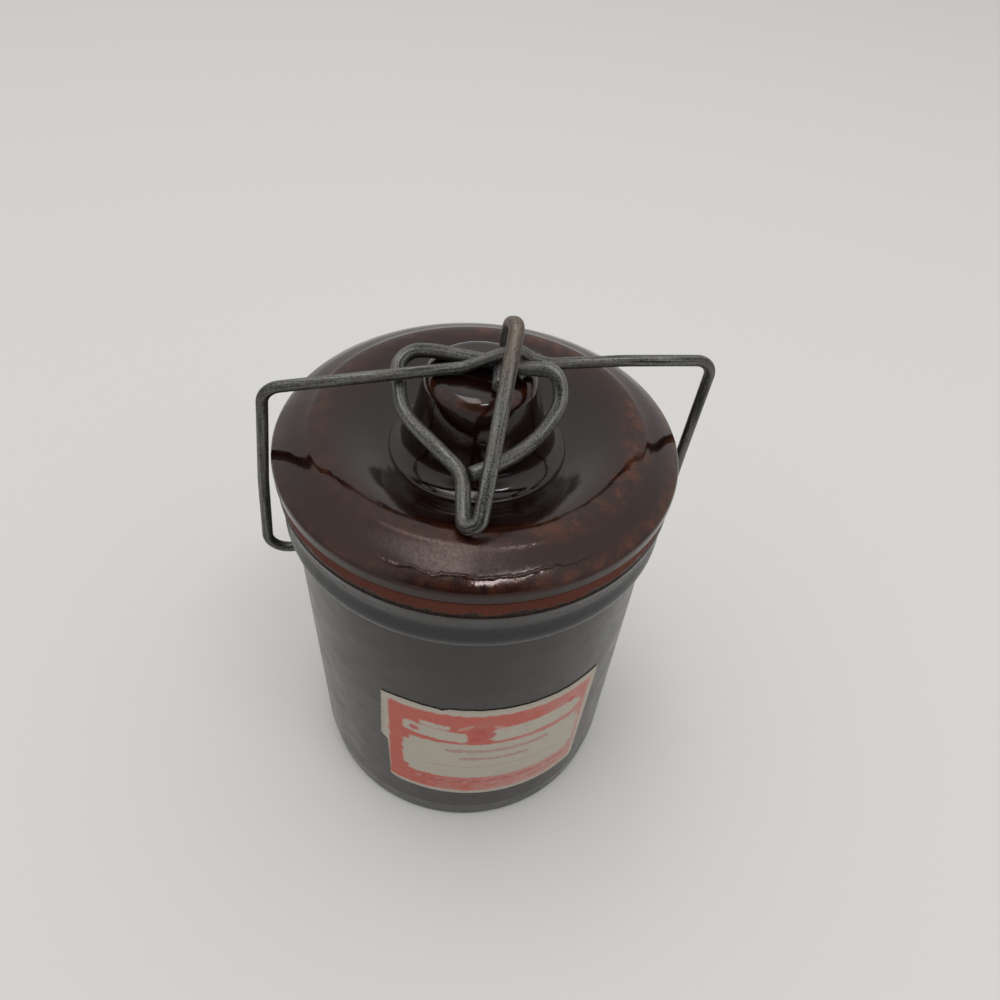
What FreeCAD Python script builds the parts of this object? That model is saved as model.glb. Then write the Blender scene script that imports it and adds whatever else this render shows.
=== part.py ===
"""Stoneware cheese crock with a knobbed lid, held shut by a sprung wire bail
and a bent-wire lever.  Millimetres, +Z up, origin at the centre of the foot,
ear axis along X, front of the crock (label, lever tip) towards -Y."""
import FreeCAD, Part
import math
import os
from FreeCAD import Vector

# ---- pot ----
BODY_RADIUS = 39.45
RIM_HEIGHT = 97.0
FOOT_INSET = 0.55
FOOT_ROUND = 1.3
FOOT_HEIGHT = 7.0
RIDGE_BELOW_RIM = 13.6
RIDGE_STEP = 1.6
RIDGE_THICKNESS = 2.0
COVE_STEP = 1.1
GLAZE_LINE_BELOW_RIM = 4.4
GLAZE_LINE_STEP = 2.0
RIM_STEP = 1.8
RIM_ROUND = 0.5

# ---- ear sockets for the bail ----
EAR_BELOW_RIM = 27.0
EAR_DEPTH = 4.6
EAR_MOUTH_RADIUS = 3.4
EAR_FLOOR_RADIUS = 1.7

# ---- lid ----
LID_OVERHANG = 0.5
LID_EDGE_HEIGHT = 2.2
LID_EDGE_ROUND = 0.5
CREST_INSET = 9.45
CREST_HEIGHT = 6.95
DISH_RADIUS = 19.6
DISH_FLOOR_HEIGHT = 0.9
KNOB_FOOT_RADIUS = 15.6
KNOB_TOP_HEIGHT = 19.4
KNOB_TOP_RADIUS = 11.3
KNOB_EDGE_ROUND = 3.0
KNOB_LEAN_DEG = 12.5

# ---- bail: reaches are measured out from the lid's edge ----
BAIL_WIRE = 2.28
BAIL_LEAN_DEG = 1.75
BAIL_LEFT_FOOT = 4.95
BAIL_LEFT_TOP = -0.85
BAIL_RIGHT_FOOT = 4.75
BAIL_RIGHT_TOP = 5.25
BAIL_BOW = 0.6
BAIL_CORNER_BEND = 4.0
BAIL_EAR_BEND = 4.6
BAIL_EAR_GAP = 0.8
HUMP_LEFT = 4.6
HUMP_RIGHT = 7.1
HUMP_CLEARANCE = 0.85

# ---- lever: ring clearances are measured out from the knob's top ----
LEVER_WIRE = 2.85
RING_LEFT_GAP = 4.6
RING_RIGHT_GAP = 2.6
TIP_SETBACK = 0.95
TIP_LEFT = -7.25
TIP_STEP = 1.6
HOOK_OVER_HUMP = 8.3
HOOK_DEPTH = 3.8

# ---- label ----
LABEL_WIDTH = 53.0
LABEL_HEIGHT = 41.5
LABEL_CENTRE_HEIGHT = 35.8
LABEL_TILT_DEG = -1.6
LABEL_THICKNESS = 0.2
PASTE_THICKNESS = 0.05

SEAT = 0.05

# ---- places worked out from the sizes above ----
FOOT_RADIUS = BODY_RADIUS - FOOT_INSET
RIDGE_RADIUS = BODY_RADIUS + RIDGE_STEP
COVE_RADIUS = BODY_RADIUS + COVE_STEP
GLAZE_LINE_RADIUS = BODY_RADIUS + GLAZE_LINE_STEP
RIM_RADIUS = BODY_RADIUS + RIM_STEP
RIDGE_HEIGHT = RIM_HEIGHT - RIDGE_BELOW_RIM
GLAZE_LINE_HEIGHT = RIM_HEIGHT - GLAZE_LINE_BELOW_RIM
EAR_HEIGHT = RIM_HEIGHT - EAR_BELOW_RIM
LID_RADIUS = RIM_RADIUS + LID_OVERHANG
CREST_RADIUS = LID_RADIUS - CREST_INSET
CREST_TOP = RIM_HEIGHT + CREST_HEIGHT
KNOB_TOP = RIM_HEIGHT + KNOB_TOP_HEIGHT
HUMP_RISE = LEVER_WIRE + HUMP_CLEARANCE
HOOK_HEIGHT = HUMP_RISE + HOOK_OVER_HUMP
TIP_BEND = LEVER_WIRE / 2 + 0.125
TIP_WIDTH = LEVER_WIRE - 0.15

AXIS = Vector(0, 0, 1)
ORIGIN = Vector(0, 0, 0)


def revolve(edges):
    """Turn a closed half profile in the XZ plane about the Z axis."""
    face = Part.Face(Part.Wire(edges))
    return face.revolve(ORIGIN, AXIS, 360)


def point(radius, height):
    return Vector(radius, 0, height)


def line(a, b):
    return Part.LineSegment(a, b).toShape()


def smooth(points, start, end):
    """Interpolated curve through points with set end directions."""
    curve = Part.BSplineCurve()
    curve.interpolate(Points=points, InitialTangent=start, FinalTangent=end)
    return curve.toShape()


def round_corner(before, corner, after, radius):
    """Tangent arc that replaces the corner between two straight runs."""
    toward_before = (before - corner).normalize()
    toward_after = (after - corner).normalize()
    half = toward_before.getAngle(toward_after) / 2
    setback = radius / math.tan(half)
    bisector = (toward_before + toward_after).normalize()
    centre = corner + bisector * (radius / math.sin(half))
    first = corner + toward_before * setback
    last = corner + toward_after * setback
    return first, centre - bisector * radius, last, setback


def bent_wire(points, radii, diameter):
    """Round wire along straight runs joined by tangent bends.
    radii holds one bend radius for each inner point."""
    edges = []
    here = points[0]
    for index, radius in enumerate(radii):
        corner = points[index + 1]
        first, middle, last, setback = round_corner(points[index], corner, points[index + 2], radius)
        if (first - here).Length > 1e-4:
            edges.append(line(here, first))
        edges.append(Part.Arc(first, middle, last).toShape())
        here = last
    edges.append(line(here, points[-1]))
    path = Part.Wire(edges)
    direction = points[1] - points[0]
    section = Part.Wire(Part.Circle(points[0], direction, diameter / 2).toShape())
    wire = path.makePipeShell([section], True, False)
    expected = path.Length * math.pi * diameter ** 2 / 4
    print("wire length %.1f, volume ratio %.4f" % (path.Length, wire.Volume / expected))
    return wire


# ---- pot: one turned form ----
def make_crock():
    ridge_low = RIDGE_HEIGHT - RIDGE_THICKNESS
    cove_height = (RIDGE_HEIGHT + GLAZE_LINE_HEIGHT) / 2
    shoulder = [
        point(BODY_RADIUS, ridge_low),
        point((BODY_RADIUS + RIDGE_RADIUS) / 2 - 0.1, RIDGE_HEIGHT - RIDGE_THICKNESS / 2),
        point(RIDGE_RADIUS, RIDGE_HEIGHT + 0.3),
        point(COVE_RADIUS, cove_height),
        point(GLAZE_LINE_RADIUS, GLAZE_LINE_HEIGHT),
    ]
    foot_start = point(FOOT_RADIUS - FOOT_ROUND, 0)
    foot_bulge = 1 - math.sqrt(0.5)
    foot_middle = point(FOOT_RADIUS - FOOT_ROUND * foot_bulge, FOOT_ROUND * foot_bulge)
    foot_end = point(FOOT_RADIUS, FOOT_ROUND)
    profile = [
        line(ORIGIN, foot_start),
        Part.Arc(foot_start, foot_middle, foot_end).toShape(),
        line(foot_end, point(BODY_RADIUS, FOOT_HEIGHT)),
        line(point(BODY_RADIUS, FOOT_HEIGHT), shoulder[0]),
        smooth(shoulder, AXIS, Vector(0.1, 0, 1)),
        line(shoulder[-1], point(RIM_RADIUS, GLAZE_LINE_HEIGHT + 0.6)),
        line(point(RIM_RADIUS, GLAZE_LINE_HEIGHT + 0.6), point(RIM_RADIUS, RIM_HEIGHT - RIM_ROUND)),
        line(point(RIM_RADIUS, RIM_HEIGHT - RIM_ROUND), point(RIM_RADIUS - RIM_ROUND, RIM_HEIGHT)),
        line(point(RIM_RADIUS - RIM_ROUND, RIM_HEIGHT), point(0, RIM_HEIGHT)),
        line(point(0, RIM_HEIGHT), ORIGIN),
    ]
    crock = revolve(profile)
    reach = 2.0
    slope = (EAR_MOUTH_RADIUS - EAR_FLOOR_RADIUS) / EAR_DEPTH
    mouth = EAR_MOUTH_RADIUS + slope * reach
    for side in (-1, 1):
        floor = Vector(side * (BODY_RADIUS - EAR_DEPTH), 0, EAR_HEIGHT)
        outward = Vector(side, 0, 0)
        socket = Part.makeCone(EAR_FLOOR_RADIUS, mouth, EAR_DEPTH + reach, floor, outward)
        crock = crock.cut(socket)
    return crock


# ---- lid: rolled shoulder, dished top and a tapering knob ----
def make_lid():
    base = RIM_HEIGHT
    edge_top = base + LID_EDGE_HEIGHT
    crest = base + CREST_HEIGHT
    floor = base + DISH_FLOOR_HEIGHT
    top = base + KNOB_TOP_HEIGHT
    lean = math.radians(KNOB_LEAN_DEG)
    edge_low = top - KNOB_EDGE_ROUND * (1 - math.sin(lean))
    edge_centre = KNOB_TOP_RADIUS - KNOB_EDGE_ROUND * math.cos(lean)
    width = LID_RADIUS - CREST_RADIUS
    rise = crest - edge_top
    shoulder = [
        point(LID_RADIUS, edge_top),
        point(CREST_RADIUS + width * 0.89, edge_top + rise * 0.30),
        point(CREST_RADIUS + width * 0.61, edge_top + rise * 0.62),
        point(CREST_RADIUS + width * 0.25, edge_top + rise * 0.90),
        point(CREST_RADIUS, crest),
    ]
    span = CREST_RADIUS - DISH_RADIUS
    drop = crest - floor
    dish = [
        point(CREST_RADIUS, crest),
        point(DISH_RADIUS + span * 0.66, crest - drop * 0.16),
        point(DISH_RADIUS + span * 0.42, crest - drop * 0.42),
        point(DISH_RADIUS + span * 0.19, crest - drop * 0.73),
        point(DISH_RADIUS, floor + 0.35),
    ]
    flank = [
        point(KNOB_FOOT_RADIUS, floor),
        point(KNOB_FOOT_RADIUS - 1.25, floor + 2.2),
        point(KNOB_FOOT_RADIUS - 2.0, floor + 6.5),
        point(KNOB_TOP_RADIUS, edge_low),
    ]
    edge_middle = point(
        edge_centre + KNOB_EDGE_ROUND * math.cos(math.pi / 4),
        top - KNOB_EDGE_ROUND * (1 - math.sin(math.pi / 4)),
    )
    profile = [
        line(point(0, base), point(LID_RADIUS - LID_EDGE_ROUND, base)),
        line(point(LID_RADIUS - LID_EDGE_ROUND, base), point(LID_RADIUS, base + LID_EDGE_ROUND)),
        line(point(LID_RADIUS, base + LID_EDGE_ROUND), shoulder[0]),
        smooth(shoulder, AXIS, Vector(-1, 0, 0)),
        smooth(dish, Vector(-1, 0, 0), Vector(-1, 0, -0.45)),
        line(dish[-1], point(DISH_RADIUS - 1.0, floor)),
        line(point(DISH_RADIUS - 1.0, floor), flank[0]),
        smooth(flank, Vector(-1, 0, 0.1), Vector(-math.sin(lean), 0, math.cos(lean))),
        Part.Arc(flank[-1], edge_middle, point(edge_centre, top)).toShape(),
        line(point(edge_centre, top), point(0, top)),
        line(point(0, top), point(0, base)),
    ]
    return revolve(profile)


# ---- bail: sprung wire from ear to ear, lying across the knob with a hump for the lever ----
def make_bail():
    across = KNOB_TOP + BAIL_WIRE / 2 + SEAT - EAR_HEIGHT
    end_x = BODY_RADIUS - EAR_DEPTH + BAIL_EAR_GAP
    left_foot = LID_RADIUS + BAIL_LEFT_FOOT
    left_top = LID_RADIUS + BAIL_LEFT_TOP
    right_foot = LID_RADIUS + BAIL_RIGHT_FOOT
    right_top = LID_RADIUS + BAIL_RIGHT_TOP
    left_mid = (left_foot + left_top) / 2 + BAIL_BOW
    drop = -0.5
    half_height = across * 0.45
    route = [
        (-end_x, drop, None),
        (-left_foot, drop, BAIL_EAR_BEND),
        (-left_mid, half_height, 60.0),
        (-left_top, across - 2.2, BAIL_CORNER_BEND),
        (-KNOB_TOP_RADIUS - 1.7, across - 0.22, 30.0),
        (HUMP_LEFT - 8.2, across + LEVER_WIRE * 1.2 - 2.95, 6.0),
        (HUMP_LEFT, across + HUMP_RISE - 0.05, 2.4),
        (HUMP_RIGHT, across + HUMP_RISE + 0.05, 2.0),
        (HUMP_RIGHT + 2.0, across + LEVER_WIRE * 1.2 - 1.67, 2.6),
        (HUMP_RIGHT + 5.5, across + 0.2, 8.0),
        (KNOB_TOP_RADIUS + 16.7, across + 0.15, 60.0),
        (right_top, across - 0.9, BAIL_CORNER_BEND),
        (right_foot, half_height, 60.0),
        (right_foot, drop, BAIL_EAR_BEND),
        (end_x, drop, None),
    ]
    points = [Vector(x, 0, EAR_HEIGHT + height) for x, height, bend in route]
    radii = [bend for x, height, bend in route[1:-1]]
    wire = bent_wire(points, radii, BAIL_WIRE)
    wire.rotate(Vector(0, 0, EAR_HEIGHT), Vector(1, 0, 0), BAIL_LEAN_DEG)
    return wire


# ---- lever: one wire.  From its cut end it rings the right of the knob, passes under the
# hump, hooks up and over it, runs down to the finger tip on the lid's crest, returns along
# the left of the knob and ends as a tongue that lies on the knob under the hump ----
def make_lever():
    lying = KNOB_TOP + LEVER_WIRE / 2 + SEAT
    tip = CREST_TOP + LEVER_WIRE / 2 + SEAT
    climb = lying - tip
    under_bail = KNOB_TOP - LEVER_WIRE / 2
    front = -(CREST_RADIUS - TIP_SETBACK)
    left = -(KNOB_TOP_RADIUS + RING_LEFT_GAP)
    right = KNOB_TOP_RADIUS + RING_RIGHT_GAP
    ring_back = KNOB_TOP_RADIUS * 0.62
    hook_back = -2.2
    hook_front = hook_back - HOOK_DEPTH
    route = [
        (-4.85, front * 0.698, tip + climb * 0.338, None),
        (right * 0.183, front * 0.630, tip + climb * 0.413, 24.0),
        (right * 0.669, front * 0.499, tip + climb * 0.562, 18.0),
        (right, front * 0.323, tip + climb * 0.812, 6.5),
        (right - 0.75, -6.5088, lying + 2.0, 2.8),
        (6.63, -3.3, lying + 0.73, 2.2),
        (5.28, 2.0, lying + 0.2, 1.9),
        (4.8, 1.35, lying + 4.3, 6.0),
        (4.62, hook_back, lying + HOOK_HEIGHT - 2.3, 2.3),
        (5.03, hook_front, lying + HOOK_HEIGHT, 2.7),
        (TIP_LEFT + TIP_WIDTH, front - 0.45, tip + TIP_STEP, TIP_BEND),
        (TIP_LEFT, front + 0.35, tip, TIP_BEND),
        (-6.1, front * 0.657, tip + climb * 0.262, 7.0),
        (left, front * 0.229, under_bail - 2.4535, 12.0),
        (left, ring_back, under_bail + 1.74215, 3.9),
        (left + 7.05, ring_back - 2.6, lying + 0.1, 20.0),
        (3.52, -0.66, lying, 1.8),
        (2.2, -7.85, lying, None),
    ]
    points = [Vector(x, y, z) for x, y, z, bend in route]
    radii = [bend for x, y, z, bend in route[1:-1]]
    return bent_wire(points, radii, LEVER_WIRE)


# ---- label: paper on the front of the pot, torn at its left edge ----
def make_label():
    inner = BODY_RADIUS + PASTE_THICKNESS
    outer = inner + LABEL_THICKNESS
    half_width = LABEL_WIDTH / 2
    half_height = LABEL_HEIGHT / 2
    outline = [
        (-half_width, half_height - 0.8),
        (-half_width * 0.78, half_height - 0.1),
        (-half_width * 0.46, half_height - 0.9),
        (-half_width * 0.40, half_height),
        (half_width, half_height),
        (half_width - 0.7, -half_height + 1.2),
        (half_width - 1.6, -half_height),
        (-half_width + 4.0, -half_height),
        (-half_width + 1.7, -half_height + 1.0),
        (-half_width + 1.4, -half_height * 0.30),
        (-half_width + 1.2, -half_height * 0.06),
        (-half_width - 0.6, 0.6),
    ]
    tilt = math.radians(LABEL_TILT_DEG)
    corners = []
    for across, up in outline:
        turned = across * math.cos(tilt) - up * math.sin(tilt)
        height = across * math.sin(tilt) + up * math.cos(tilt)
        corners.append(Vector(inner * math.sin(turned / inner), 0, LABEL_CENTRE_HEIGHT + height))
    corners.append(corners[0])
    blade = Part.Face(Part.makePolygon(corners)).extrude(Vector(0, -outer * 2, 0))
    low = LABEL_CENTRE_HEIGHT - LABEL_HEIGHT
    tube = Part.makeCylinder(outer, LABEL_HEIGHT * 2, Vector(0, 0, low))
    tube = tube.cut(Part.makeCylinder(inner, LABEL_HEIGHT * 2, Vector(0, 0, low)))
    return tube.common(blade)


def main():
    os.makedirs("parts", exist_ok=True)
    pieces = {
        "crock": make_crock(),
        "lid": make_lid(),
        "bail_wire": make_bail(),
        "lever_wire": make_lever(),
        "label": make_label(),
    }
    for name, shape in pieces.items():
        solids = shape.Solids
        print(name, "solids", len(solids), "valid", shape.isValid(), "volume %.1f" % shape.Volume)
        solids[0].exportStep("parts/%s.step" % name)


main()
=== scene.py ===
import bpy
import math
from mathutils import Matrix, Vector, noise


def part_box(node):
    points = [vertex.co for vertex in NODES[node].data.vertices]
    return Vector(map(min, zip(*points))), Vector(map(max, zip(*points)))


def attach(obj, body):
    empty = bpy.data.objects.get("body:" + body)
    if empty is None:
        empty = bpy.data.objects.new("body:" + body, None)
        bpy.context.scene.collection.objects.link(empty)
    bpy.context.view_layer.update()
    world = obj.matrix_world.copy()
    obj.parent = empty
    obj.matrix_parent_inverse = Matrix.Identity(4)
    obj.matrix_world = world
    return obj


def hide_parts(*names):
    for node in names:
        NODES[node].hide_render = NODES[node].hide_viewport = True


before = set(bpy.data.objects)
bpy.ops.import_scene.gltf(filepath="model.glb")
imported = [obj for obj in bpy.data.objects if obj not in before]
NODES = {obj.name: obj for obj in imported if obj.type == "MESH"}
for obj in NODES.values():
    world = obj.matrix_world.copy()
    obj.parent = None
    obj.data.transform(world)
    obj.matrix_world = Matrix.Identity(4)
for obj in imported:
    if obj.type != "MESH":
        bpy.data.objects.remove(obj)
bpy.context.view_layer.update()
MM = 0.001

# ---- sizes in millimetres; the lid's box is read from the CAD nodes, the rest are given ----
LID_LOW, LID_HIGH = (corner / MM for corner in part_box("lid"))
RIM = LID_LOW.z
KNOB_TOP = LID_HIGH.z
LID_RADIUS = LID_HIGH.x
BODY_RADIUS = 39.45
KNOB_RADIUS = 11.3
CREST_RADIUS = LID_RADIUS - 9.45
CREST_TOP = RIM + 6.95
EAR_HEIGHT = RIM - 27.0
BAIL_WIRE = 2.28
BAIL_LEAN_DEG = 1.75
LEVER_WIRE = 2.85
SEAT = 0.05


def rgb(red, green, blue):
    """sRGB 0-255 to a linear colour."""
    def linear(value):
        value /= 255
        return value / 12.92 if value <= 0.04045 else ((value + 0.055) / 1.055) ** 2.4
    return (linear(red), linear(green), linear(blue), 1.0)


# ---- material helper ----
class Shader:
    """Builds one node material; values may be numbers or sockets."""

    def __init__(self, name):
        self.material = bpy.data.materials.new(name)
        self.material.use_nodes = True
        self.tree = self.material.node_tree
        self.bsdf = self.tree.nodes["Principled BSDF"]
        self.coords = self.tree.nodes.new("ShaderNodeTexCoord").outputs["Object"]

    def feed(self, socket, value):
        if isinstance(value, bpy.types.NodeSocket):
            self.tree.links.new(value, socket)
        else:
            socket.default_value = value

    def set(self, **values):
        for name, value in values.items():
            self.feed(self.bsdf.inputs[name.replace("_", " ")], value)

    def node(self, kind, inputs=None, **props):
        made = self.tree.nodes.new(kind)
        for key, value in props.items():
            setattr(made, key, value)
        for key, value in (inputs or {}).items():
            self.feed(made.inputs[key], value)
        return made

    def math(self, operation, a, b=0.0, c=0.0, clamp=False):
        made = self.node("ShaderNodeMath", operation=operation, use_clamp=clamp)
        for index, value in enumerate((a, b, c)):
            self.feed(made.inputs[index], value)
        return made.outputs[0]

    def add(self, *values):
        total = values[0]
        for value in values[1:]:
            total = self.math("ADD", total, value)
        return total

    def times(self, *values):
        product = values[0]
        for value in values[1:]:
            product = self.math("MULTIPLY", product, value)
        return product

    def most(self, *values):
        highest = values[0]
        for value in values[1:]:
            highest = self.math("MAXIMUM", highest, value)
        return highest

    def invert(self, value):
        return self.math("SUBTRACT", 1.0, value)

    def span(self, value, low, high, start=0.0, end=1.0):
        """Maps value from low..high to start..end, held at both ends."""
        inputs = {"Value": value, "From Min": low, "From Max": high, "To Min": start, "To Max": end}
        return self.node("ShaderNodeMapRange", inputs).outputs[0]

    def band(self, value, low, high, soft):
        """1 between low and high, falling off over soft on both sides."""
        rise = self.span(value, low - soft, low + soft)
        fall = self.span(value, high - soft, high + soft, 1.0, 0.0)
        return self.times(rise, fall)

    def noise(self, scale, detail=4.0, rough=0.55, coords=None):
        inputs = {"Vector": coords or self.coords, "Scale": scale, "Detail": detail, "Roughness": rough}
        return self.node("ShaderNodeTexNoise", inputs).outputs["Fac"]

    def spots(self, scale, low, high, coords=None):
        """Round spots: 1 at a cell's centre, 0 beyond high."""
        made = self.node("ShaderNodeTexVoronoi", {"Vector": coords or self.coords, "Scale": scale})
        return self.span(made.outputs["Distance"], low, high, 1.0, 0.0)

    def mix(self, factor, a, b):
        made = self.node("ShaderNodeMix", data_type="RGBA")
        for index, value in ((0, factor), (6, a), (7, b)):
            self.feed(made.inputs[index], value)
        return made.outputs[2]

    def separate(self, coords):
        return self.node("ShaderNodeSeparateXYZ", {"Vector": coords}).outputs

    def combine(self, x, y, z=0.0):
        return self.node("ShaderNodeCombineXYZ", {"X": x, "Y": y, "Z": z}).outputs[0]

    def uv(self, name):
        return self.node("ShaderNodeUVMap", uv_map=name).outputs[0]

    def bump(self, height, strength, distance, normal=None):
        made = self.node("ShaderNodeBump", {"Height": height, "Strength": strength, "Distance": distance})
        if normal is not None:
            self.feed(made.inputs["Normal"], normal)
        return made.outputs["Normal"]


# ---- camera ----
camera_data = bpy.data.cameras.new("camera")
camera_data.lens = 27.0
camera_data.sensor_width = 36.0
camera_data.clip_start = 0.01
camera = bpy.data.objects.new("camera", camera_data)
bpy.context.scene.collection.objects.link(camera)
camera.location = (-0.02111, -0.11682, 0.20192)
camera.rotation_euler = [math.radians(angle) for angle in (44.3102, -3.5127, -9.4409)]
bpy.context.scene.camera = camera
bpy.context.scene.view_settings.view_transform = "Standard"

# ---- floor ----
floor_mesh = bpy.data.meshes.new("floor")
floor_mesh.from_pydata([(-3, -3, 0), (3, -3, 0), (3, 3, 0), (-3, 3, 0)], [], [(0, 1, 2, 3)])
floor = bpy.data.objects.new("floor", floor_mesh)
bpy.context.scene.collection.objects.link(floor)
paint = Shader("floor_paint")
paint.set(Base_Color=rgb(210, 209, 207), Roughness=0.8)
floor.data.materials.append(paint.material)


# ---- light: a pale room, brighter overhead and dark in front, with a high window ----
DARK_SIDE = (-0.13, -0.73, 0.67)
LOW_STRENGTH = 0.62
HIGH_STRENGTH = 1.08
DARK_SHARE = 0.15


def make_world():
    """Room light that climbs with height; its dark side shows in the glaze and not behind the crock."""
    world = bpy.data.worlds.new("world")
    bpy.context.scene.world = world
    world.use_nodes = True
    tree = world.node_tree

    def ramp(value, low, high, start, end):
        made = tree.nodes.new("ShaderNodeMapRange")
        tree.links.new(value, made.inputs["Value"])
        for name, number in (("From Min", low), ("From Max", high), ("To Min", start), ("To Max", end)):
            made.inputs[name].default_value = number
        return made.outputs[0]

    def math_node(operation, a, b):
        made = tree.nodes.new("ShaderNodeMath")
        made.operation = operation
        tree.links.new(a, made.inputs[0])
        tree.links.new(b, made.inputs[1])
        return made.outputs[0]

    direction = tree.nodes.new("ShaderNodeTexCoord").outputs["Generated"]
    split = tree.nodes.new("ShaderNodeSeparateXYZ")
    tree.links.new(direction, split.inputs[0])
    facing = tree.nodes.new("ShaderNodeVectorMath")
    facing.operation = "DOT_PRODUCT"
    facing.inputs[1].default_value = DARK_SIDE
    tree.links.new(direction, facing.inputs[0])
    climb = ramp(split.outputs["Z"], 0.0, 1.0, LOW_STRENGTH, HIGH_STRENGTH)
    shade = ramp(facing.outputs["Value"], 0.76, 0.95, 1.0, DARK_SHARE)
    seen = tree.nodes.new("ShaderNodeLightPath").outputs["Is Camera Ray"]
    background = tree.nodes["Background"]
    background.inputs["Color"].default_value = rgb(250, 249, 247)
    strength = math_node("MULTIPLY", climb, math_node("MAXIMUM", shade, seen))
    tree.links.new(strength, background.inputs["Strength"])


def area(name, place, size, power, aim=(0, 0, 0.09), colour=(1, 1, 1)):
    data = bpy.data.lights.new(name, "AREA")
    data.shape = "RECTANGLE"
    data.size, data.size_y = size
    data.energy = power
    data.color = colour
    light = bpy.data.objects.new(name, data)
    bpy.context.scene.collection.objects.link(light)
    light.location = place
    light.rotation_euler = (Vector(aim) - Vector(place)).to_track_quat("-Z", "Y").to_euler()


make_world()
area("window", (0.24, -0.52, 1.36), (0.62, 0.09), 3.4, colour=(0.96, 0.98, 1.0))
area("ceiling", (-0.20, 0.02, 1.50), (1.0, 0.42), 4.2, colour=(1.0, 0.97, 0.93))


# ---- glaze ----
def round_pot(s):
    """Radius and height in mm, and azimuth in degrees, on the pot."""
    x, y, z = s.separate(s.coords)
    radius = s.math("SQRT", s.add(s.times(x, x), s.times(y, y)))
    azimuth = s.math("DEGREES", s.math("ARCTAN2", y, x))
    return s.times(radius, 1000.0), s.times(z, 1000.0), azimuth


def glaze_finish(s, colour, gloss, pits):
    """Common surface of the glazed pieces: orange peel, slow waves and pinholes."""
    s.set(Base_Color=colour, Roughness=gloss, IOR=1.5)
    normal = s.bump(pits, -0.6, 0.0002)
    normal = s.bump(s.noise(75.0, 2.0), 0.22, 0.0012, normal)
    normal = s.bump(s.noise(650.0, 2.0), 0.07, 0.0003, normal)
    return normal


def make_lid_glaze():
    s = Shader("lid_glaze")
    radius, height, azimuth = round_pot(s)
    cloud = s.noise(60.0, 5.0)
    streak = s.noise(330.0, 4.0, 0.65)
    fine = s.noise(1500.0, 3.0, 0.7)
    shift = s.times(s.math("SUBTRACT", cloud, 0.5), 3.0)
    wavy_height = s.add(height, shift)
    wavy_radius = s.add(radius, shift)
    right = s.span(s.separate(s.coords)[0], -0.030, 0.034, 0.35, 1.0)
    shoulder = s.times(s.band(wavy_height, RIM + 2.7, RIM + 4.4, 0.7), s.span(radius, 37.5, 39.0))
    crest = s.times(s.band(wavy_radius, 30.6, 34.6, 1.8), s.span(height, RIM + 5.0, RIM + 6.0), right)
    knob_edge = s.times(s.band(wavy_radius, 9.6, 11.3, 0.4), s.span(height, KNOB_TOP - 3.0, KNOB_TOP - 2.0))
    patchy = s.span(s.add(s.times(cloud, 0.5), s.times(streak, 0.5)), 0.40, 0.58, 0.25, 1.0)
    thin = s.most(s.times(shoulder, 0.62, right), s.times(crest, 0.75), s.times(knob_edge, 0.5))
    thin = s.times(thin, patchy)
    deep = s.mix(cloud, rgb(13, 4, 3), rgb(26, 9, 6))
    amber = s.mix(s.span(streak, 0.38, 0.62), rgb(38, 14, 8), rgb(90, 44, 22))
    colour = s.mix(thin, deep, amber)
    colour = s.mix(s.times(s.span(fine, 0.52, 0.62), thin, 0.7), colour, rgb(18, 8, 5))
    gloss = s.span(s.noise(170.0, 4.0), 0.3, 0.7, 0.07, 0.17)
    dulled = s.times(s.band(azimuth, -135.0, -88.0, 14.0), s.band(radius, 32.0, 38.6, 1.5))
    gloss = s.add(gloss, s.times(dulled, s.span(fine, 0.35, 0.65, 0.06, 0.26)))
    pits = s.spots(700.0, 0.02, 0.10)
    normal = glaze_finish(s, colour, gloss, pits)
    s.set(Specular_Tint=s.mix(s.span(radius, 24.0, 31.0), rgb(252, 250, 250), rgb(255, 231, 225)))
    ripple = s.add(radius, s.times(s.math("SUBTRACT", s.noise(140.0, 4.0), 0.5), 3.2))
    front = s.band(azimuth, -118.0, -68.0, 10.0)
    ridge = s.times(s.band(ripple, 38.9, 39.2, 0.22), s.span(height, RIM + 3.2, RIM + 3.8), front)
    s.set(Normal=s.bump(ridge, 0.8, 0.0004, normal))
    return s.material


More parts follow.
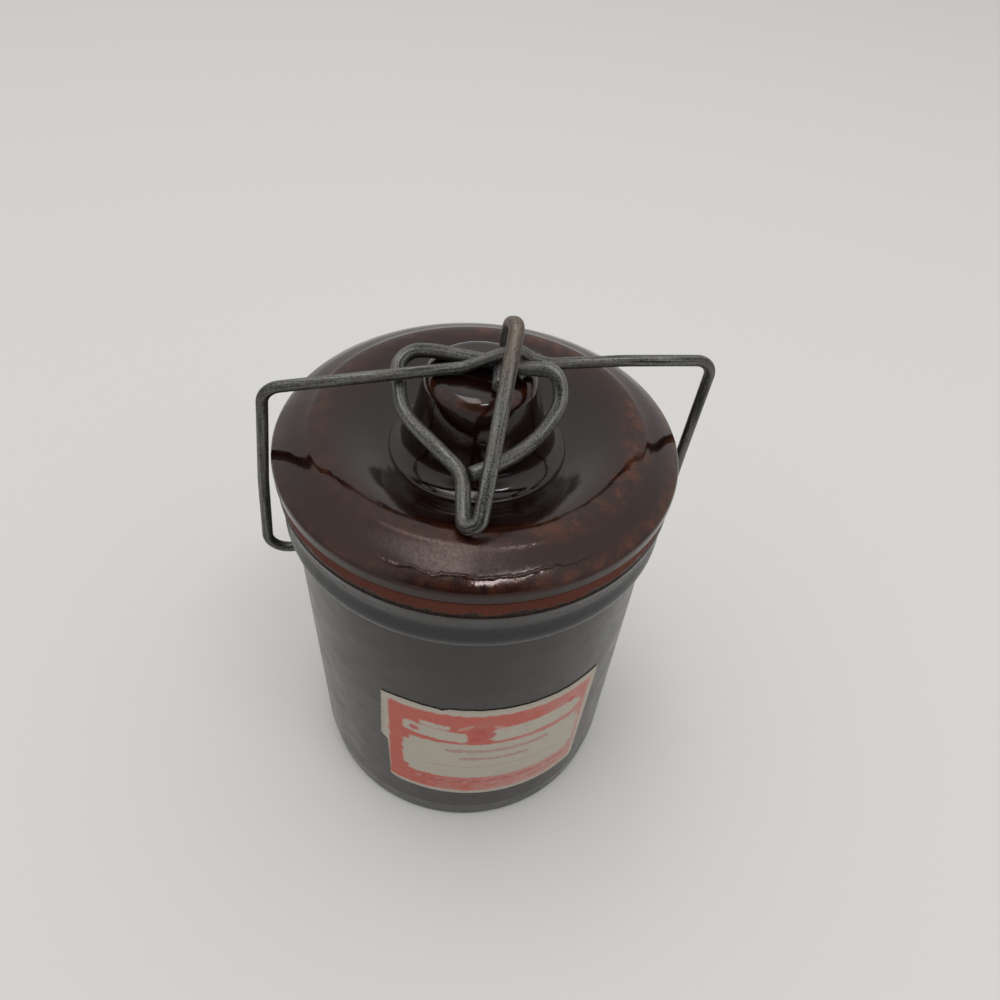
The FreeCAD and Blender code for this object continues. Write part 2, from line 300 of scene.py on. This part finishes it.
def make_pot_glaze():
    s = Shader("pot_glaze")
    height, azimuth = round_pot(s)[1:]
    cloud = s.noise(50.0, 5.0)
    fine = s.noise(1300.0, 4.0, 0.7)
    ragged = s.add(
        s.times(s.math("SUBTRACT", s.noise(260.0, 6.0, 0.65), 0.5), 3.4),
        s.times(s.math("SUBTRACT", s.noise(1100.0, 3.0), 0.5), 0.9),
    )
    line_height = s.add(height, ragged)
    bare = s.span(line_height, RIM - 3.45, RIM - 3.15)
    olive = s.times(s.span(height, RIM - 4.75, RIM - 4.3), s.invert(bare))
    # painted shadow: a thin dark line just under the ragged glaze edge stands in for the shade beneath it
    glaze_edge_shadow = s.band(height, RIM - 4.95, RIM - 4.55, 0.15)
    smudged_belt = s.times(s.span(height, RIM - 13.0, RIM - 17.0), s.span(height, RIM - 47.0, RIM - 35.0))
    smudge = s.times(s.span(s.noise(230.0, 5.0, 0.7), 0.56, 0.66), smudged_belt)
    grey = s.mix(cloud, rgb(14, 11, 12), rgb(24, 20, 21))
    colour = s.mix(s.times(smudge, 0.5), grey, rgb(12, 10, 11))
    # painted reflection: a bluish-grey band on the collar stands in for the pale room mirrored in the glaze
    collar_reflection = s.times(s.band(height, RIM - 13.0, RIM - 5.5, 1.2), 0.5)
    colour = s.mix(collar_reflection, colour, rgb(22, 25, 30))
    # painted highlight: a pale grey band at the ridge under the collar stands in for light caught on its
    # rounded edge
    ridge_highlight = s.times(s.band(height, RIM - 15.2, RIM - 12.4, 0.5), 0.35)
    colour = s.mix(ridge_highlight, colour, rgb(80, 78, 79))
    colour = s.mix(olive, colour, s.mix(s.span(fine, 0.4, 0.6), rgb(9, 4, 3), rgb(44, 25, 13)))
    clay = s.mix(s.add(s.times(fine, 0.5), s.times(cloud, 0.5)), rgb(58, 27, 20), rgb(112, 58, 44))
    colour = s.mix(bare, colour, clay)
    # lays the painted shadow under the glaze edge into the colour
    colour = s.mix(s.times(glaze_edge_shadow, 0.8), colour, rgb(14, 7, 5))
    cluster = s.times(s.band(azimuth, -95.0, -70.0, 4.0), s.band(height, RIM - 12.0, RIM - 6.0, 1.0))
    left_pits = s.times(s.band(azimuth, -121.0, -114.0, 2.0), s.band(height, RIM - 12.0, RIM - 9.0, 0.8))
    sparse = s.span(s.noise(120.0, 3.0), 0.55, 0.65)
    pitted = s.most(cluster, left_pits, s.times(sparse, 0.5))
    pits = s.times(s.spots(1000.0, 0.20, 0.38), pitted, s.invert(bare))
    colour = s.mix(s.times(pits, 0.9), colour, rgb(8, 6, 6))
    satin = s.span(s.noise(150.0, 4.0), 0.3, 0.7, 0.20, 0.32)
    gloss = s.add(satin, s.times(bare, 0.45))
    normal = glaze_finish(s, colour, gloss, pits)
    s.set(Specular_IOR_Level=s.span(s.most(bare, olive), 0.0, 1.0, 0.5, 0.14))
    s.set(Normal=s.bump(s.times(fine, s.most(bare, s.times(olive, 0.6))), 0.35, 0.0003, normal))
    return s.material


# ---- rounded moulding at the knob's foot ----
def make_knob_skirt(material, segments=180):
    """Turned flare that leaves the knob's flank upright and ends in a rounded lip on the floor."""
    floor_height = RIM + 0.9
    inner, lip_radius, sunk = 13.9, 18.0, 0.4
    rise, lip = 4.5, 0.5
    profile = []
    for step in range(17):
        turn = step / 16 * math.pi / 2
        radius = inner + (lip_radius - inner) * (1 - math.cos(turn))
        profile.append((radius, floor_height + lip + rise * (1 - math.sin(turn))))
    for step in range(1, 6):
        turn = step / 5 * math.pi / 2
        profile.append((lip_radius + lip * math.sin(turn), floor_height + lip * math.cos(turn)))
    profile += [(lip_radius + lip, floor_height - sunk), (inner, floor_height - sunk)]
    verts = []
    faces = []
    count = len(profile)
    for segment in range(segments):
        turn = 2 * math.pi * segment / segments
        verts += [Vector((r * math.cos(turn), r * math.sin(turn), z)) * MM for r, z in profile]
        ahead = (segment + 1) % segments
        for index in range(count):
            after = (index + 1) % count
            low, high = segment * count, ahead * count
            faces.append((low + index, low + after, high + after, high + index))
    mesh = bpy.data.meshes.new("knob_skirt")
    mesh.from_pydata(verts, [], faces)
    for polygon in mesh.polygons:
        polygon.use_smooth = True
    skirt = bpy.data.objects.new("knob_skirt", mesh)
    bpy.context.scene.collection.objects.link(skirt)
    mesh.materials.append(material)
    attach(skirt, "root")


# ---- wire ----
def make_wire():
    s = Shader("dull_wire")
    along, around = s.separate(s.uv("run"))[:2]
    drawn = s.noise(1.0, 4.0, 0.6, s.combine(s.times(along, 0.05), s.times(around, 9.0)))
    height = s.times(s.separate(s.coords)[2], 1000.0)
    scale_patch = s.noise(0.16, 4.0, 0.6, s.combine(along, s.times(around, 6.0)))
    grain = s.noise(3200.0, 3.0, 0.7)
    pits = s.spots(1500.0, 0.12, 0.34)
    tone = s.add(s.times(drawn, 0.75), s.times(grain, 0.4))
    colour = s.mix(s.span(tone, 0.46, 0.72), rgb(26, 28, 32), rgb(134, 133, 127))
    colour = s.mix(s.times(s.span(scale_patch, 0.5, 0.7), 0.5), colour, rgb(84, 76, 65))
    colour = s.mix(s.span(height, KNOB_TOP + 5.0, KNOB_TOP + 13.0, 0.0, 0.55), colour, rgb(108, 90, 76))
    colour = s.mix(s.times(pits, 0.65), colour, rgb(26, 25, 24))
    s.set(Base_Color=colour, Metallic=0.7, Roughness=s.span(grain, 0.3, 0.7, 0.34, 0.54))
    normal = s.bump(drawn, 0.35, 0.0003)
    s.set(Normal=s.bump(s.math("SUBTRACT", grain, s.times(pits, 0.6)), 0.45, 0.00012, normal))
    return s.material


def fillet(before, corner, after, radius):
    """Points along the tangent arc that rounds a corner between two straight runs."""
    back = (before - corner).normalized()
    ahead = (after - corner).normalized()
    half = back.angle(ahead) / 2
    centre = corner + (back + ahead).normalized() * (radius / math.sin(half))
    start = corner + back * (radius / math.tan(half)) - centre
    end = corner + ahead * (radius / math.tan(half)) - centre
    steps = max(3, int(math.degrees(math.pi - 2 * half) / 7))
    return [centre + start.slerp(end, step / steps) * radius for step in range(steps + 1)]


def bent_path(route, spacing=1.0):
    """Dense centre line through straight runs and bends; route rows are x, y, z, bend."""
    corners = [Vector(row[:3]) for row in route]
    turns = [corners[0]]
    for index in range(1, len(route) - 1):
        turns += fillet(corners[index - 1], corners[index], corners[index + 1], route[index][3])
    turns.append(corners[-1])
    path = [turns[0]]
    for here, there in zip(turns, turns[1:]):
        steps = max(1, round((there - here).length / spacing))
        path += [here.lerp(there, step / steps) for step in range(1, steps + 1)]
    return path


def make_tube(name, path, diameter, node, material, sides=24):
    """Round wire with a UV map that runs along it in mm and once around it."""
    radius = diameter / 2
    tangent = (path[1] - path[0]).normalized()
    side = tangent.orthogonal().normalized()
    verts = []
    stations = []
    travelled = 0.0
    for index, centre in enumerate(path):
        ahead = path[min(index + 1, len(path) - 1)] - path[max(index - 1, 0)]
        side = (side - ahead.normalized() * side.dot(ahead.normalized())).normalized()
        other = ahead.normalized().cross(side)
        if index:
            travelled += (centre - path[index - 1]).length
        stations.append(travelled)
        for step in range(sides):
            turn = 2 * math.pi * step / sides
            verts.append((centre + (side * math.cos(turn) + other * math.sin(turn)) * radius) * MM)
    faces = []
    uvs = []
    for ring in range(len(path) - 1):
        for step in range(sides):
            ahead_step = (step + 1) % sides
            low, high = ring * sides, (ring + 1) * sides
            faces.append((low + step, low + ahead_step, high + ahead_step, high + step))
            left, right = step / sides, (step + 1) / sides
            near, far = stations[ring], stations[ring + 1]
            uvs += [(near, left), (near, right), (far, right), (far, left)]
    last = (len(path) - 1) * sides
    faces.append(tuple(reversed(range(sides))))
    faces.append(tuple(range(last, last + sides)))
    uvs += [(0.0, step / sides) for step in range(2 * sides)]
    mesh = bpy.data.meshes.new(name)
    mesh.from_pydata(verts, [], faces)
    layer = mesh.uv_layers.new(name="run")
    for loop, uv in zip(layer.data, uvs):
        loop.uv = uv
    for polygon in mesh.polygons:
        polygon.use_smooth = len(polygon.vertices) == 4
    place(name, mesh, node, "wire", material)


def place(name, mesh, node, slot, material):
    """Adds a piece in the frame of the part in place of one CAD node."""
    piece = bpy.data.objects.new(name, mesh)
    bpy.context.scene.collection.objects.link(piece)
    mesh.materials.append(material)
    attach(piece, "root")
    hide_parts(node)
    return piece


def bail_route():
    across = KNOB_TOP + BAIL_WIRE / 2 + SEAT - EAR_HEIGHT
    end_x = BODY_RADIUS - 3.8
    left_foot = LID_RADIUS + 4.95
    left_top = LID_RADIUS - 0.85
    left_mid = (left_foot + left_top) / 2 + 0.6
    right_foot = LID_RADIUS + 4.75
    right_top = LID_RADIUS + 5.25
    half_height = across * 0.45
    rows = [
        (-end_x, -0.5, None),
        (-left_foot, -0.5, 4.6),
        (-left_mid, half_height, 60.0),
        (-left_top, across - 2.2, 4.0),
        (-KNOB_RADIUS - 1.7, across - 0.22, 30.0),
        (-3.6, across + 0.47, 6.0),
        (4.6, across + 3.65, 2.4),
        (7.1, across + 3.75, 2.0),
        (9.1, across + 1.75, 2.6),
        (12.6, across + 0.2, 8.0),
        (KNOB_RADIUS + 16.7, across + 0.15, 60.0),
        (right_top, across - 0.9, 4.0),
        (right_foot, half_height, 60.0),
        (right_foot, -0.5, 4.6),
        (end_x, -0.5, None),
    ]
    lean = math.radians(BAIL_LEAN_DEG)
    return [(x, -up * math.sin(lean), EAR_HEIGHT + up * math.cos(lean), bend) for x, up, bend in rows]


def lever_route():
    lying = KNOB_TOP + LEVER_WIRE / 2 + SEAT
    tip = CREST_TOP + LEVER_WIRE / 2 + SEAT
    climb = lying - tip
    front = -(CREST_RADIUS - 0.95)
    left = -(KNOB_RADIUS + 4.6)
    right = KNOB_RADIUS + 2.6
    return [
        (-4.85, front * 0.698, tip + climb * 0.338, None),
        (right * 0.183, front * 0.630, tip + climb * 0.413, 24.0),
        (right * 0.669, front * 0.499, tip + climb * 0.562, 18.0),
        (right, front * 0.323, tip + climb * 0.812, 6.5),
        (right - 0.75, -6.51, lying + 2.0, 2.8),
        (6.63, -3.3, lying + 0.73, 2.2),
        (5.28, 2.0, lying + 0.2, 1.9),
        (4.8, 1.35, lying + 4.3, 6.0),
        (4.62, -2.2, lying + 9.7, 2.3),
        (5.03, -6.0, lying + 12.0, 2.7),
        (-4.55, front - 0.45, tip + 1.6, 1.55),
        (-7.25, front + 0.35, tip, 1.55),
        (-6.1, front * 0.657, tip + climb * 0.262, 7.0),
        (left, front * 0.229, tip + climb * 0.570, 12.0),
        (left, 7.0, tip + climb * 0.907, 3.9),
        (left + 7.05, 4.4, lying + 0.1, 20.0),
        (3.52, -0.66, lying, 1.8),
        (2.2, -7.85, lying, None),
    ]


# ---- label ----
LABEL_WIDTH = 53.0
LABEL_HEIGHT = 41.5
LABEL_CENTRE = 35.8
LABEL_TILT = math.radians(-1.6)
PAPER_FACE = 0.245
PAPER_THICKNESS = 0.16


def make_paper():
    """Faded print: coral frame, two small panels, a berry sprig and a large panel with bars."""
    s = Shader("label_print")
    u, v = s.separate(s.uv("print"))[:2]
    flat = s.combine(u, v)
    blur = s.times(s.math("SUBTRACT", s.noise(0.55, 5.0, 0.65, flat), 0.5), 1.9)
    across = s.add(u, blur)
    up = s.add(v, s.times(s.math("SUBTRACT", s.noise(0.5, 5.0, 0.65, s.combine(v, u)), 0.5), 1.9))

    def block(x, y, width, height, corner=1.0, soft=0.3, slope=0.0):
        """Rounded block centred at x, y; slope leans it."""
        dx = s.math("ABSOLUTE", s.math("SUBTRACT", across, x))
        centre_y = s.add(y, s.times(s.math("SUBTRACT", across, x), slope)) if slope else y
        dy = s.math("ABSOLUTE", s.math("SUBTRACT", up, centre_y))
        out_x = s.math("MAXIMUM", s.math("SUBTRACT", dx, width / 2 - corner), 0.0)
        out_y = s.math("MAXIMUM", s.math("SUBTRACT", dy, height / 2 - corner), 0.0)
        distance = s.math("SQRT", s.add(s.times(out_x, out_x), s.times(out_y, out_y)))
        return s.span(distance, corner - soft, corner + soft, 1.0, 0.0)

    def bar(x, y, width, height, weight):
        """Plain printed bar with round ends."""
        return s.times(block(x, y, width, height, height / 2 - 0.05, 0.15), weight)

    fade = s.span(s.add(s.times(u, 0.02), s.times(v, -0.012), s.noise(0.12, 4.0, 0.6, flat)), 0.35, 1.0)
    worn = s.span(s.noise(1.6, 5.0, 0.7, flat), 0.40, 0.62)
    cream = s.mix(s.noise(0.35, 5.0, 0.6, flat), rgb(176, 168, 154), rgb(186, 179, 168))
    coral = s.mix(fade, rgb(186, 88, 76), rgb(188, 126, 120))
    coral = s.mix(s.times(s.invert(worn), s.add(0.08, s.times(fade, 0.45))), coral, cream)
    frame_ink = block(-0.1, -0.4, 49.0, 37.4, 0.8, 0.35)
    panel = s.most(block(1.2, -3.2, 41.5, 17.2, 0.5), block(1.2, -3.2, 44.5, 12.8, 0.5))
    plaque = s.most(block(10.2, 9.9, 21.0, 5.6, 1.2, 0.3, 0.05), block(10.2, 9.9, 24.0, 3.4, 1.2, 0.3, 0.05))
    ribbon = s.most(
        block(-13.6, 9.2, 15.0, 4.4, 1.4, 0.3, -0.12),
        block(-13.6, 12.6, 7.0, 2.0, 0.9, 0.3, -0.12),
    )
    rule = block(1.2, 5.9, 43.0, 0.7, 0.2, 0.2)
    paper = s.most(s.times(panel, s.invert(rule)), plaque, ribbon)
    ink = s.times(frame_ink, s.invert(paper))
    colour = s.mix(ink, cream, coral)
    berries = [(-3.9, 11.4, 3.2), (-1.3, 9.6, 3.0), (-4.2, 8.0, 2.6), (-18.4, 9.6, 2.2), (19.0, 13.9, 2.0)]
    sprig = s.most(*[block(x, y, size, size, size / 2 - 0.05, 0.25) for x, y, size in berries])
    leaves = s.most(block(-6.6, 13.1, 3.6, 1.5, 0.7, 0.25, 0.5), block(1.2, 12.6, 3.2, 1.4, 0.6, 0.25, -0.5))
    colour = s.mix(s.times(sprig, 0.85), colour, rgb(180, 74, 74))
    colour = s.mix(s.times(leaves, 0.7), colour, rgb(190, 152, 142))
    bars = s.most(
        bar(1.5, 2.0, 25.0, 1.5, 0.6),
        bar(1.0, -1.8, 17.0, 1.2, 0.6),
        bar(1.0, -6.0, 33.0, 0.5, 0.4),
    )
    colour = s.mix(s.times(bars, s.add(0.5, s.times(worn, 0.5))), colour, rgb(160, 92, 86))
    low_rows = s.most(bar(0.0, -14.0, 43.0, 1.1, 0.6), bar(0.0, -16.6, 39.0, 0.7, 0.5))
    colour = s.mix(s.times(low_rows, s.invert(paper)), colour, rgb(166, 70, 70))
    rubbed = s.span(s.noise(0.5, 2.0, 0.5, flat), 0.5, 0.6)
    colour = s.mix(s.times(low_rows, rubbed), colour, rgb(192, 158, 150))
    edge = s.invert(block(-0.2, -0.1, 51.6, 40.2, 0.6, 0.9))
    colour = s.mix(s.times(edge, 0.35), colour, rgb(120, 104, 90))
    stain = s.times(s.span(s.noise(0.10, 5.0, 0.6, s.combine(v, u)), 0.55, 0.75), 0.25)
    colour = s.mix(stain, colour, rgb(150, 134, 118))
    s.set(Base_Color=colour, Roughness=0.72)
    fibre = s.noise(2.2, 5.0, 0.7, flat)
    wrinkle = s.noise(0.16, 3.0, 0.5, flat)
    normal = s.bump(wrinkle, 0.3, 0.0006)
    s.set(Normal=s.bump(fibre, 0.25, 0.0001, normal))
    return s.material


def label_edges(up):
    """Left and right edge of the paper at a height above its centre, with its tears."""
    half = LABEL_WIDTH / 2
    torn = [(-20.75, -22.5), (-19.75, -24.8), (-6.2, -25.1), (-1.3, -25.3), (0.6, -27.1), (20.75, -26.5)]
    left = torn[0][1]
    for (low, low_x), (high, high_x) in zip(torn, torn[1:]):
        if low <= up <= high:
            left = low_x + (high_x - low_x) * (up - low) / (high - low)
    worn_below, taper = -19.55, 0.7
    right = half - taper * (1 - (up - worn_below) / 40.3)
    if up < worn_below:
        right = half - taper - 0.9 * (worn_below - up) / 1.2
    coarse = 0.16 * noise.noise(Vector((3.1, up * 0.9, 0.0)))
    ragged = coarse + 0.08 * noise.noise(Vector((7.7, up * 3.0, 0.0)))
    return left + 0.2 + ragged, right - 0.2 + ragged


def label_top(across):
    """Upper edge of the paper, with a nick left of the middle."""
    tear = [(-26.5, 19.95), (-20.7, 20.65), (-13.2, 20.2), (-12.2, 19.85), (-10.6, 20.75), (26.5, 20.75)]
    top = tear[0][1]
    for (low, low_y), (high, high_y) in zip(tear, tear[1:]):
        if low <= across <= high:
            top = low_y + (high_y - low_y) * (across - low) / (high - low)
    return top - 0.15 + 0.14 * noise.noise(Vector((across * 0.8, 1.7, 0.0)))


def make_label(material, columns=160, rows=120):
    """Paper wrapped on the pot, with a UV map in mm from its centre."""
    outer = BODY_RADIUS + PAPER_FACE
    verts = []
    flat = []
    for row in range(rows + 1):
        share = row / rows
        for column in range(columns + 1):
            base_up = -LABEL_HEIGHT / 2 + 0.1 + share * (LABEL_HEIGHT - 0.2)
            left, right = label_edges(base_up)
            across = left + (right - left) * column / columns
            top = label_top(across)
            bottom = -LABEL_HEIGHT / 2 + 0.15 + 0.12 * noise.noise(Vector((across * 0.7, 9.3, 0.0)))
            up = bottom + (top - bottom) * share
            turned = across * math.cos(LABEL_TILT) - up * math.sin(LABEL_TILT)
            height = across * math.sin(LABEL_TILT) + up * math.cos(LABEL_TILT)
            angle = turned / outer
            place_mm = Vector((outer * math.sin(angle), -outer * math.cos(angle), LABEL_CENTRE + height))
            verts.append(place_mm * MM)
            flat.append((across, up))
    width = columns + 1
    faces = []
    for row in range(rows):
        for column in range(columns):
            corner = row * width + column
            faces.append((corner, corner + 1, corner + width + 1, corner + width))
    mesh = bpy.data.meshes.new("label_paper")
    mesh.from_pydata(verts, [], faces)
    layer = mesh.uv_layers.new(name="print")
    for loop in mesh.loops:
        layer.data[loop.index].uv = flat[loop.vertex_index]
    for polygon in mesh.polygons:
        polygon.use_smooth = True
    piece = place("label_paper", mesh, "label", "label", material)
    thickness = piece.modifiers.new("thickness", "SOLIDIFY")
    thickness.thickness = PAPER_THICKNESS * MM
    thickness.offset = -1.0


def dress(node, material):
    mesh = NODES[node].data
    mesh.materials.clear()
    mesh.materials.append(material)


dress("crock", make_pot_glaze())
lid_glaze = make_lid_glaze()
dress("lid", lid_glaze)
make_knob_skirt(lid_glaze)
wire = make_wire()
make_tube("bail", bent_path(bail_route()), BAIL_WIRE, "bail_wire", wire)
make_tube("lever", bent_path(lever_route()), LEVER_WIRE, "lever_wire", wire)
make_label(make_paper())
